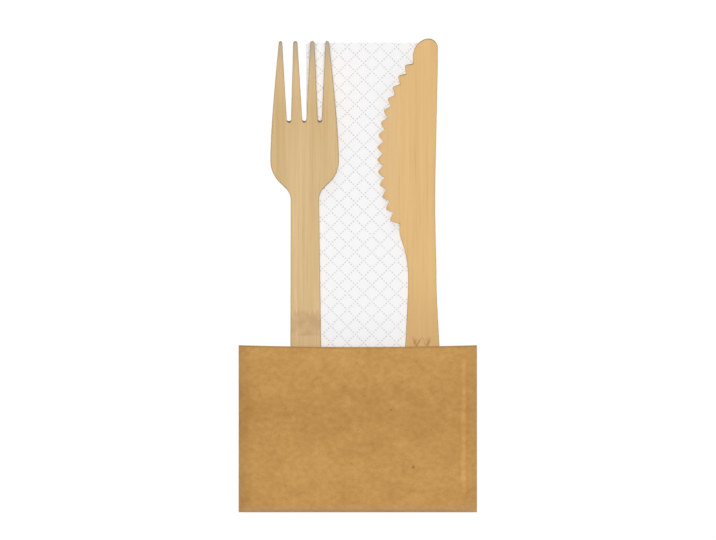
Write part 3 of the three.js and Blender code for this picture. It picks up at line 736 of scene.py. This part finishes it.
def plate(outline, rounding, lower, upper, start):
    """A strip of varying thickness with its edges rounded all the way round.

    The rim is a profile (quarter round, wall, quarter round) carried along the outline. Each face is
    the outline set in by the rounding, with a grid of points inside, joined into triangles.
    Returns the places in the plan, the heights, the faces, and two shares for each point: how much it
    lies on the cut edge, and how much that edge lies across the grain.
    """
    count = len(outline)
    along = np.roll(outline, -1, 0) - outline
    along /= np.linalg.norm(along, axis=1)[:, None]
    inward = np.stack([-along[:, 1], along[:, 0]], -1)
    before = np.roll(inward, 1, 0)
    mitre = (inward + before) / (1 + (inward * before).sum(1))[:, None]
    turn = np.linspace(0, np.pi / 2, num=5)
    insets = np.outer(1 - np.sin(turn), rounding)
    drops = np.outer(1 - np.cos(turn), rounding)
    rings = outline + insets[:, :, None] * mitre
    rim_plan = np.concatenate([rings, rings[::-1]]).reshape(-1, 2)
    tops = upper(*rings.reshape(-1, 2).T).reshape(-1, count) - drops
    bottoms = lower(*rings.reshape(-1, 2).T).reshape(-1, count) + drops
    rim_height = np.concatenate([tops, bottoms[::-1]]).ravel()
    grid = face_grid(outline, rings[0], start)
    face_points = np.concatenate([rings[0], grid]).tolist()
    inside_only, same_point = 1, 1e-9
    fill = delaunay_2d_cdt(face_points, [], [list(range(count))], inside_only, same_point)
    triangles = np.array(fill[2])
    rows = len(rim_plan) // count
    ring = np.arange(rows * count).reshape(rows, count)
    beside = np.roll(ring, -1, 1)
    walls = np.stack([ring[:-1], ring[1:], beside[1:], beside[:-1]], -1).reshape(-1, 4)
    on_rim = triangles < count
    top = np.where(on_rim, triangles, triangles - count + rows * count)
    bottom = np.where(on_rim, triangles + (rows - 1) * count, top + len(grid))[:, ::-1]
    plan = np.concatenate([rim_plan, grid, grid])
    height = np.concatenate([rim_height, upper(*grid.T), lower(*grid.T)])
    cut = np.sqrt(np.sin(np.concatenate([turn, turn[::-1]])))[:, None] * np.ones(count)
    ends = cut * np.abs(mitre[:, 1]) ** 2
    rim = np.stack([cut.ravel(), ends.ravel()])
    return plan, height, [walls, top, bottom], np.pad(rim, ((0, 0), (0, 2 * len(grid))))


def press_fork(plan, height):
    """The flat strip pressed to shape: level, then an arc up to straight tines, with the head dished.

    A height is measured square to the pressed underside, so the cut edges stay square to it.
    """
    x, y = plan.T
    root_y = FORK_LENGTH - TINE_LENGTH
    bend = root_y - BEND_Y
    slope = TIP_RISE / (bend / 2 + TINE_LENGTH) * np.clip((y - BEND_Y) / bend, 0, 1)
    rise = slope * np.clip(y - BEND_Y, 0, bend) / 2 + slope * np.maximum(y - root_y, 0)
    share = smooth_step(BEND_Y, SHOULDER_Y, y) * (1 - smooth_step(SHOULDER_Y, FORK_LENGTH, y))
    bowl = HEAD_DISH * share / HEAD_HALF**2
    normal = np.stack([-2 * bowl * x, -slope, np.ones_like(x)], -1)
    normal /= np.linalg.norm(normal, axis=1)[:, None]
    return np.stack([x, y, rise + bowl * x**2], -1) + height[:, None] * normal


def place_fork(points):
    """The pressed fork turned by its lean about the height of its shoulders, in the fork's box."""
    x, y, z = points.T
    cos, sin = np.cos(FORK_LEAN), np.sin(FORK_LEAN)
    leaning = np.stack([cos * x - sin * (y - SHOULDER_Y), sin * x + cos * y, z], -1)
    return leaning + ((fork_low.x + fork_high.x) / 2, fork_low.y, fork_low.z)


def store_strip(piece, plan, height, shares):
    """Keeps with a piece's points their places in the flat strip and their two shares of cut edge."""
    strip = np.column_stack([plan, height])
    piece.data.attributes.new("strip", "FLOAT_VECTOR", "POINT").data.foreach_set("vector", strip.ravel())
    for name, values in zip(EDGE_SHARES, shares):
        piece.data.attributes.new(name, "FLOAT", "POINT").data.foreach_set("value", values)


def bamboo_group():
    """Bamboo cut along its grain: broad tones, fine streaks, and short dark bundles of fibres."""
    group = bpy.data.node_groups.new("bamboo grain", "ShaderNodeTree")
    group.interface.new_socket("Vector", in_out="INPUT", socket_type="NodeSocketVector")
    group.interface.new_socket("Seed", in_out="INPUT", socket_type="NodeSocketFloat")
    for name in ("Tone", "Bundle", "Height"):
        group.interface.new_socket(name, in_out="OUTPUT", socket_type="NodeSocketFloat")
    strip, seed = group.nodes.new("NodeGroupInput").outputs[:2]
    kinds = [(stretch, detail, seed, share) for stretch, detail, share in BAMBOO_NOISES]
    tone, (_, streak, fine) = mix_noises(strip, kinds)
    bundle = noise(strip, (2300, 42, 2300), detail=1.0, seed=seed)
    result = add_node(group, "NodeGroupOutput", {
        "Tone": tone,
        "Bundle": ramp(bundle, *BUNDLE_RANGE),
        "Height": calc("ADD", fine, streak),
    })
    result.is_active_output = True
    return group


def bamboo_material(name, seed, light, dark, bundle, marks):
    """Sanded bamboo from the shared grain, with the piece's own marks given as a function.

    The sawn edges are a little darker, and darkest where they cross the fibres; that dark end grain also
    carries painted shade, as at the roots of the fork's slots.
    """
    material, tree, shader = new_material(name, roughness=0.6, specular=0.3)
    place = add_node(tree, "ShaderNodeTexCoord").outputs["Object"]
    strip = add_node(tree, "ShaderNodeAttribute", attribute_name="strip").outputs["Vector"]
    grain = add_node(tree, "ShaderNodeGroup", node_tree=bamboo_grain)
    tree.links.new(strip, grain.inputs["Vector"])
    grain.inputs["Seed"].default_value = seed
    colour = tint(grain.outputs["Tone"], dark, light)
    colour = tint(product(grain.outputs["Bundle"], BUNDLE_SHARE), colour, bundle)
    colour = marks(place, colour)
    # sawn edges darker; across the fibres partly painted shade
    for edge, strength in EDGE_SHARES.items():
        share = add_node(tree, "ShaderNodeAttribute", attribute_name=edge).outputs["Fac"]
        colour = tint(product(share, strength), colour, END_GRAIN_AND_SHADE)
    dress(shader, colour, grain.outputs["Height"], *BAMBOO_RELIEF)
    return material


def waver(value, by, reach):
    """A value moved to and fro by a noise, over the given reach."""
    return calc("ADD", value, calc("MULTIPLY_ADD", by, reach, -reach / 2))


def fork_marks(place, colour):
    """The bamboo's node crosses the handle as a band of brown patches, frayed into dashes at its top.

    The tines are lightened with painted light against the shade of their upturn, and their tips are greyer,
    where pressing has darkened them.
    """
    y = split(place)[1]
    fray = noise(place, (700, 60, 700), detail=2.0, seed=21.0)
    patch = noise(place, (330, 260, 330), detail=2.0, seed=23.0)
    top = ramp(waver(y, fray, NODE_FRAY), *NODE_TOP)
    band = product(ramp(y, *NODE_FOOT), top, ramp(patch, *NODE_PATCHES))
    below = ramp(y, *NODE_FOOT, HANDLE_SHARE, 0.0)
    band = calc("MAXIMUM", product(band, NODE_SHARE), below)
    colour = tint(band, colour, FORK_NODE)
    root_y, tip_y = fork_high.y - TINE_LENGTH, fork_high.y
    # painted light: the upturned tines are lightened against the shade of their tilt
    tines = ramp(y, root_y, (root_y + tip_y) / 2, 0.0, TINE_LIGHT_SHARE)
    colour = tint(tines, colour, FORK_TINE_LIGHT)
    tip = ramp(waver(y, fray, TIP_FRAY), tip_y - TIP_GREY, tip_y, 0.0, TIP_SHARE)
    return tint(tip, colour, FORK_TIP)


bamboo_grain = bamboo_group()
fork_edge = fork_outline()
fork_plan, fork_height, fork_faces, fork_shares = plate(
    fork_edge,
    fork_rounding(fork_edge),
    lambda x, y: np.zeros_like(x),
    lambda x, y: np.full_like(x, FORK_THICKNESS),
    start=0.0,
)
fork = add_piece("bamboo_fork", place_fork(press_fork(fork_plan, fork_height)), fork_faces)
sanding_begins, sanding_full = (FORK_LENGTH - below for below in TIP_SANDING)
fork_shares[1] *= 1 - TIP_SANDED * smooth_step(sanding_begins, sanding_full, fork_plan[:, 1])
store_strip(fork, fork_plan, fork_height, fork_shares)
fork.data.materials.append(
    bamboo_material("fork bamboo", 1.0, FORK_LIGHT, FORK_DARK, FORK_BUNDLE, fork_marks))
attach(fork, "root")
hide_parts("fork")

# Knife: stamped from the same strip. One side is bevelled on both faces, and teeth are cut along its
# convex edge; the spine is slightly hollow and the point is round.

KNIFE_LENGTH = 170 * MM
KNIFE_THICKNESS = 2 * MM
KNIFE_END_HALF = 7.5 * MM
KNIFE_END_ROUND = 5 * MM
WAIST_HALF = 5.15 * MM
WAIST_Y = 82 * MM
END_EASE = 0.58  # share of the flare's length over which the handle's end stays broad
WAIST_EASE = 0.15  # and over which the waist stays narrow
HOLLOW_X = 4.7 * MM
HOLLOW_Y = 112 * MM
POINT_SPINE = 5.65 * MM
POINT_PEAK = 2.4 * MM
POINT_BACK_ROUND = 3.5 * MM
POINT_FRONT_ROUND = 6.5 * MM
EDGE_RADIUS = 57 * MM
EDGE_START_Y = 160.8 * MM
BELLY_Y = 127 * MM
EDGE_END_Y = 102.4 * MM
BELLY_REACH = 14.5 * MM
TOOTH_COUNT = 14
TOOTH_DEPTH = 1.9 * MM
TOOTH_TIP_WIDTH = 0.7 * MM
TOOTH_SOFT = 0.2 * MM  # how far the corners of the teeth are rounded back
TOOTH_ROUND = 0.12 * MM  # how far the teeth's edges are rounded
TOOTH_REACH = (-7 * MM, -10 * MM)  # places across, where that begins and is full
TOOTH_THICKNESS = 0.9 * MM
HEEL_NOTCH = 0.6 * MM
HEEL_DROP = 3.6 * MM
BEVEL_START = 8.9 * MM
KNIFE_LIGHT = srgb(225, 187, 127)
KNIFE_DARK = srgb(213, 172, 110)
KNIFE_BUNDLE = srgb(186, 140, 84)
KNIFE_NODE = srgb(160, 114, 50)
KNIFE_BEVEL = srgb(212, 181, 138)
BAND_FOOT = (-31 * MM, -27 * MM)  # where the warmer band at the node comes in
BAND_TOP = (6 * MM, -26 * MM)  # where it ends and is full
BAND_SHARE = 0.45
BEVEL_SHARE = 0.25
BEVEL_SOFT = 0.3 * MM  # width over which the bevel's tone comes in
BEVEL_LINE = (0.4 * MM, 0.1 * MM, 0.0, 0.3)  # pale line before it: half width, half core, strengths
# painted shade on the teeth, browner towards their tips
TOOTH_SHADE_SHARE = 0.25
CHEVRON_AT = (21.55 * MM, -25.4 * MM)  # point of the first chevron
CHEVRON_PITCH = 3.43 * MM
CHEVRON_COUNT = 2
CHEVRON_STEEP = 1.9  # rise for each unit across
CHEVRON_WAVER = 1.6 * MM
CHEVRON_RISE = (3.85 * MM, 1.4 * MM)  # above their points, where strokes end and are full
CHEVRON_ENDS = (0.3 * MM, -0.2 * MM)  # and the same beside the row's last chevrons
CHEVRON_OUTER = (0.4, 0.8)  # in pitches from the row's middle, where the outer arms broaden
CHEVRON_FIBRES = (0.35, 0.6, 0.35, 1.0)  # range of the fibres' noise, and the strokes' strengths
STROKE_HALF = 0.4 * MM  # half width of a stroke
OUTER_STROKE_HALF = 0.9 * MM  # of an outer arm
NESTED_STROKE_HALF = 0.3 * MM  # and of the strokes nested in a chevron
STROKE_EDGE = (1.5, 0.3, 0.0)  # in half widths, where a stroke begins and is full, and its least strength
STROKE_STRENGTH = 0.8
NESTED_STROKES = (  # how far in from the chevron, strength and colour
    (0.475 * MM, 0.5, KNIFE_LIGHT),
    (0.95 * MM, 0.4, KNIFE_NODE),
)

knife_low, knife_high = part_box("knife")


def soften(corners, reach):
    """Each corner of a run of straight lines as a small curve between points on its two sides."""
    before = np.concatenate([corners[:1], corners[:-1]]) - corners
    after = np.concatenate([corners[1:], corners[-1:]]) - corners
    for side in (before, after):
        side *= reach / np.maximum(np.linalg.norm(side, axis=1), reach)[:, None]
    t = np.linspace(0, 1, num=4)[:, None, None]
    curve = corners + (1 - t) ** 2 * before + t**2 * after
    return curve.transpose(1, 0, 2).reshape(-1, 2)


def knife_outline():
    """Up the spine, round the point, down the teeth on two arcs about one centre, and back."""
    flare = WAIST_Y - KNIFE_END_ROUND
    flare_low, flare_high = KNIFE_END_ROUND + END_EASE * flare, WAIST_Y - WAIST_EASE * flare
    run = (HOLLOW_Y - WAIST_Y) / 2
    back_y = KNIFE_LENGTH - POINT_BACK_ROUND
    front_y = KNIFE_LENGTH - POINT_FRONT_ROUND
    first = np.arcsin((EDGE_START_Y - BELLY_Y) / EDGE_RADIUS)
    last = np.arcsin((EDGE_END_Y - BELLY_Y) / EDGE_RADIUS)

    def on_edge(teeth, height, shift):
        """Points so many teeth along the edge's arc, at a height above it and a shift along it."""
        turn = first + (last - first) * teeth / TOOTH_COUNT - shift / EDGE_RADIUS
        radius = EDGE_RADIUS + height
        x = EDGE_RADIUS - BELLY_REACH - radius * np.cos(turn)
        return np.stack([x, BELLY_Y + radius * np.sin(turn)], -1)

    tooth = np.arange(TOOTH_COUNT)
    corners = np.stack([
        on_edge(tooth, 0, 0),
        on_edge(tooth + 0.5, TOOTH_DEPTH, -TOOTH_TIP_WIDTH / 2),
        on_edge(tooth + 0.5, TOOTH_DEPTH, TOOTH_TIP_WIDTH / 2),
    ], 1).reshape(-1, 2)
    edge_x = corners[0, 0]
    heel = on_edge(TOOTH_COUNT, 0, 0) + (HEEL_NOTCH, 0)
    heel_end = heel - (0, HEEL_DROP)
    sweep = (heel_end[1] - WAIST_Y) / 2
    return np.concatenate([
        arc((0, KNIFE_END_ROUND), (KNIFE_END_HALF, KNIFE_END_ROUND), -90, 0, count=18),
        bezier((KNIFE_END_HALF, KNIFE_END_ROUND), (KNIFE_END_HALF, flare_low),
               (WAIST_HALF, flare_high), (WAIST_HALF, WAIST_Y), count=50),
        bezier((WAIST_HALF, WAIST_Y), (WAIST_HALF, WAIST_Y + run / 2),
               (HOLLOW_X, HOLLOW_Y - run), (HOLLOW_X, HOLLOW_Y), count=20),
        bezier((HOLLOW_X, HOLLOW_Y), (HOLLOW_X, HOLLOW_Y + run),
               (POINT_SPINE, back_y - run), (POINT_SPINE, back_y), count=40),
        arc((POINT_PEAK, back_y), (POINT_SPINE - POINT_PEAK, POINT_BACK_ROUND), 0, 90, count=12),
        arc((POINT_PEAK, front_y), (POINT_PEAK - edge_x, POINT_FRONT_ROUND), 90, 180, count=18),
        line((edge_x, front_y), corners[0] + (0, 3 * TOOTH_SOFT), count=4),
        soften(np.concatenate([corners, [heel]]), TOOTH_SOFT)[2:],
        bezier(heel_end, heel_end + (sweep / 7, -sweep / 2), (-WAIST_HALF, WAIST_Y + sweep),
               (-WAIST_HALF, WAIST_Y), count=18),
        bezier((-WAIST_HALF, WAIST_Y), (-WAIST_HALF, flare_high), (-KNIFE_END_HALF, flare_low),
               (-KNIFE_END_HALF, KNIFE_END_ROUND), count=50),
        arc((0, KNIFE_END_ROUND), (KNIFE_END_HALF, KNIFE_END_ROUND), 180, 270, count=18),
    ])


def knife_rounding(outline):
    """How far each point's edge is rounded: less along the teeth than elsewhere."""
    return EDGE_ROUND + (TOOTH_ROUND - EDGE_ROUND) * smooth_step(*TOOTH_REACH, outline[:, 0])


def bevel_depth(x, y):
    """How far a face is cut back: nothing as far as the bevel, then evenly to the tips of the teeth."""
    share = np.clip((-x - BEVEL_START) / (BELLY_REACH + TOOTH_DEPTH - BEVEL_START), 0, None)
    return share * (KNIFE_THICKNESS - TOOTH_THICKNESS) / 2


def chevron_marks(place, colour):
    """A row of dark chevrons: strokes near the zigzag whose height is its steepness times |place across|.

    The row's outer arms are broader, and paler and darker strokes are nested in its inner ones.
    """
    x, y, _ = split(place)
    first, foot = CHEVRON_AT
    moved = waver(x, noise(place, (600, 400, 600), detail=2.0, seed=31.0), CHEVRON_WAVER)
    across = calc("SUBTRACT", moved, first)
    rise = calc("SUBTRACT", y, foot)
    arm = calc("PINGPONG", across, CHEVRON_PITCH / 2)
    inward = calc("SUBTRACT", calc("DIVIDE", rise, CHEVRON_STEEP), arm)
    off_middle = off_from(across, (CHEVRON_COUNT - 1) * CHEVRON_PITCH / 2)
    outer = ramp(off_middle, *(share * CHEVRON_PITCH for share in CHEVRON_OUTER))
    end, full = (CHEVRON_COUNT * CHEVRON_PITCH / 2 + beyond for beyond in CHEVRON_ENDS)
    fibre = noise(place, (1500, 500, 1500), detail=2.0, seed=37.0)
    shown = product(ramp(off_middle, end, full), ramp(rise, *CHEVRON_RISE),
                    ramp(fibre, *CHEVRON_FIBRES))
    half = calc("MULTIPLY_ADD", outer, OUTER_STROKE_HALF - STROKE_HALF, STROKE_HALF)
    off = calc("DIVIDE", calc("ABSOLUTE", inward), half)
    stroke = product(shown, ramp(off, *STROKE_EDGE, STROKE_STRENGTH))
    colour = tint(stroke, colour, KNIFE_NODE)
    shown = product(shown, calc("SUBTRACT", 1.0, outer))
    for nest, strength, ink in NESTED_STROKES:
        off = calc("DIVIDE", off_from(inward, nest), NESTED_STROKE_HALF)
        stroke = product(shown, ramp(off, *STROKE_EDGE, strength))
        colour = tint(stroke, colour, ink)
    return colour


def knife_marks(place, colour):
    """The bamboo's node shows as a row of dark chevrons where its fibres cross, in a warmer band.

    The ground bevel is a little greyer than the face, behind a pale line, and browner with painted shade
    towards the tips of the teeth.
    """
    x, y, _ = split(place)
    band = product(ramp(y, *BAND_FOOT), ramp(y, *BAND_TOP), BAND_SHARE)
    colour = chevron_marks(place, tint(band, colour, KNIFE_BUNDLE))
    axis_x = knife_high.x - KNIFE_END_HALF
    bevel_x = axis_x - BEVEL_START
    ground = ramp(x, bevel_x, bevel_x - BEVEL_SOFT)
    colour = tint(product(ground, BEVEL_SHARE), colour, KNIFE_BEVEL)
    edge_centre = (axis_x + EDGE_RADIUS - BELLY_REACH, knife_low.y + BELLY_Y, 0)
    in_plan = vector_calc("MULTIPLY", place, (1, 1, 0))
    from_centre = vector_calc("DISTANCE", in_plan, edge_centre, "Value")
    up_tooth = calc("SUBTRACT", from_centre, EDGE_RADIUS)
    # painted shade on the thin teeth, browner towards their tips
    teeth = product(ground, ramp(up_tooth, 0.0, TOOTH_DEPTH, 0.0, TOOTH_SHADE_SHARE))
    colour = tint(teeth, colour, KNIFE_BUNDLE)
    return tint(ramp(off_from(x, bevel_x), *BEVEL_LINE), colour, KNIFE_LIGHT)


knife_edge = knife_outline()
knife_plan, knife_height, knife_faces, knife_shares = plate(
    knife_edge,
    knife_rounding(knife_edge),
    bevel_depth,
    lambda x, y: KNIFE_THICKNESS - bevel_depth(x, y),
    start=-BEVEL_START,
)
knife_points = np.column_stack([knife_plan, knife_height])
knife_points += (knife_high.x - KNIFE_END_HALF, knife_low.y, knife_low.z)
knife = add_piece("bamboo_knife", knife_points, knife_faces)
store_strip(knife, knife_plan, knife_height, knife_shares)
knife.data.materials.append(
    bamboo_material("knife bamboo", 5.0, KNIFE_LIGHT, KNIFE_DARK, KNIFE_BUNDLE, knife_marks))
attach(knife, "root")
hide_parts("knife")

# Studio: a white table under an even sky, with a soft lamp straight above the set and two weaker ones low
# beyond its foot and beyond its tips. The camera looks straight down from far above.

IMAGE_SIZE = (716, 540)
PIXEL = 0.3652 * MM  # what one pixel of the image covers on the set
IMAGE_CENTRE = (0.07 * MM, 2.0 * MM)
CAMERA_HEIGHT = 6.0
SENSOR_WIDTH = 36.0
WORLD_LEVEL = 0.27
WHITE = (1, 1, 1, 1)
TABLE_HALF = 3.0
TABLE_DROP = 0.1 * MM  # below the set
TABLE_COLOUR = (0.9, 0.9, 0.9, 1)
TABLE_GLOW = 1.06  # brightness with which the table is seen
TABLE_GLOW_SHARE = 0.85
LAMPS = (  # name, place, size and power
    ("front", (-0.01, 0.03, 2.4), 0.3, 37.8),
    ("rake", (0.2, -2.6, 0.5), 0.8, 10.0),
    ("fill", (-0.2, 2.4, 1.2), 1.2, 9.0),
)


def sees_white(tree):
    """1 for rays that come from the camera, a gloss or a clear body."""
    path = add_node(tree, "ShaderNodeLightPath").outputs
    seen = calc("MAXIMUM", path["Is Camera Ray"], path["Is Glossy Ray"])
    return calc("MAXIMUM", seen, path["Is Transmission Ray"])


def table_material():
    """Matt white that lights the set as paper would, but is seen as an even white ground."""
    material, tree, shader = new_material("white table", roughness=0.9)
    shader.inputs["Base Color"].default_value = TABLE_COLOUR
    glow = add_node(tree, "ShaderNodeEmission", {"Color": WHITE, "Strength": TABLE_GLOW})
    share = product(sees_white(tree), TABLE_GLOW_SHARE)
    mixed = add_node(tree, "ShaderNodeMixShader", {0: share, 1: shader.outputs[0], 2: glow.outputs[0]})
    tree.links.new(mixed.outputs[0], tree.nodes["Material Output"].inputs["Surface"])
    return material


def add_lamp(name, place, size, power):
    """A square lamp that faces the middle of the set."""
    data = bpy.data.lights.new(name, "AREA")
    data.size = size
    data.energy = power
    lamp = bpy.data.objects.new(name, data)
    bpy.context.scene.collection.objects.link(lamp)
    lamp.location = place
    lamp.rotation_euler = (-lamp.location).to_track_quat("-Z", "Y").to_euler()


table_side = np.linspace(-TABLE_HALF, TABLE_HALF, num=3)
table_x, table_y = np.meshgrid(table_side, table_side)
table_points = np.stack([table_x, table_y, np.full_like(table_x, -TABLE_DROP)], -1).reshape(-1, 3)
floor = add_piece("table", table_points, [grid_faces(table_x.shape)])
floor.data.materials.append(table_material())

world = bpy.data.worlds.new("studio")
world.use_nodes = True
bpy.context.scene.world = world
sky = world.node_tree.nodes["Background"]
level = ramp(sees_white(world.node_tree), 0.0, 1.0, WORLD_LEVEL, 1.0)
world.node_tree.links.new(level, sky.inputs["Strength"])
sky.inputs["Color"].default_value = WHITE

for lamp_settings in LAMPS:
    add_lamp(*lamp_settings)

camera = bpy.data.objects.new("camera", bpy.data.cameras.new("camera"))
bpy.context.scene.collection.objects.link(camera)
camera.location = (*IMAGE_CENTRE, CAMERA_HEIGHT)
camera.data.sensor_width = SENSOR_WIDTH
camera.data.lens = SENSOR_WIDTH * CAMERA_HEIGHT / (IMAGE_SIZE[0] * PIXEL)
bpy.context.scene.camera = camera
bpy.context.scene.view_settings.view_transform = "Standard"
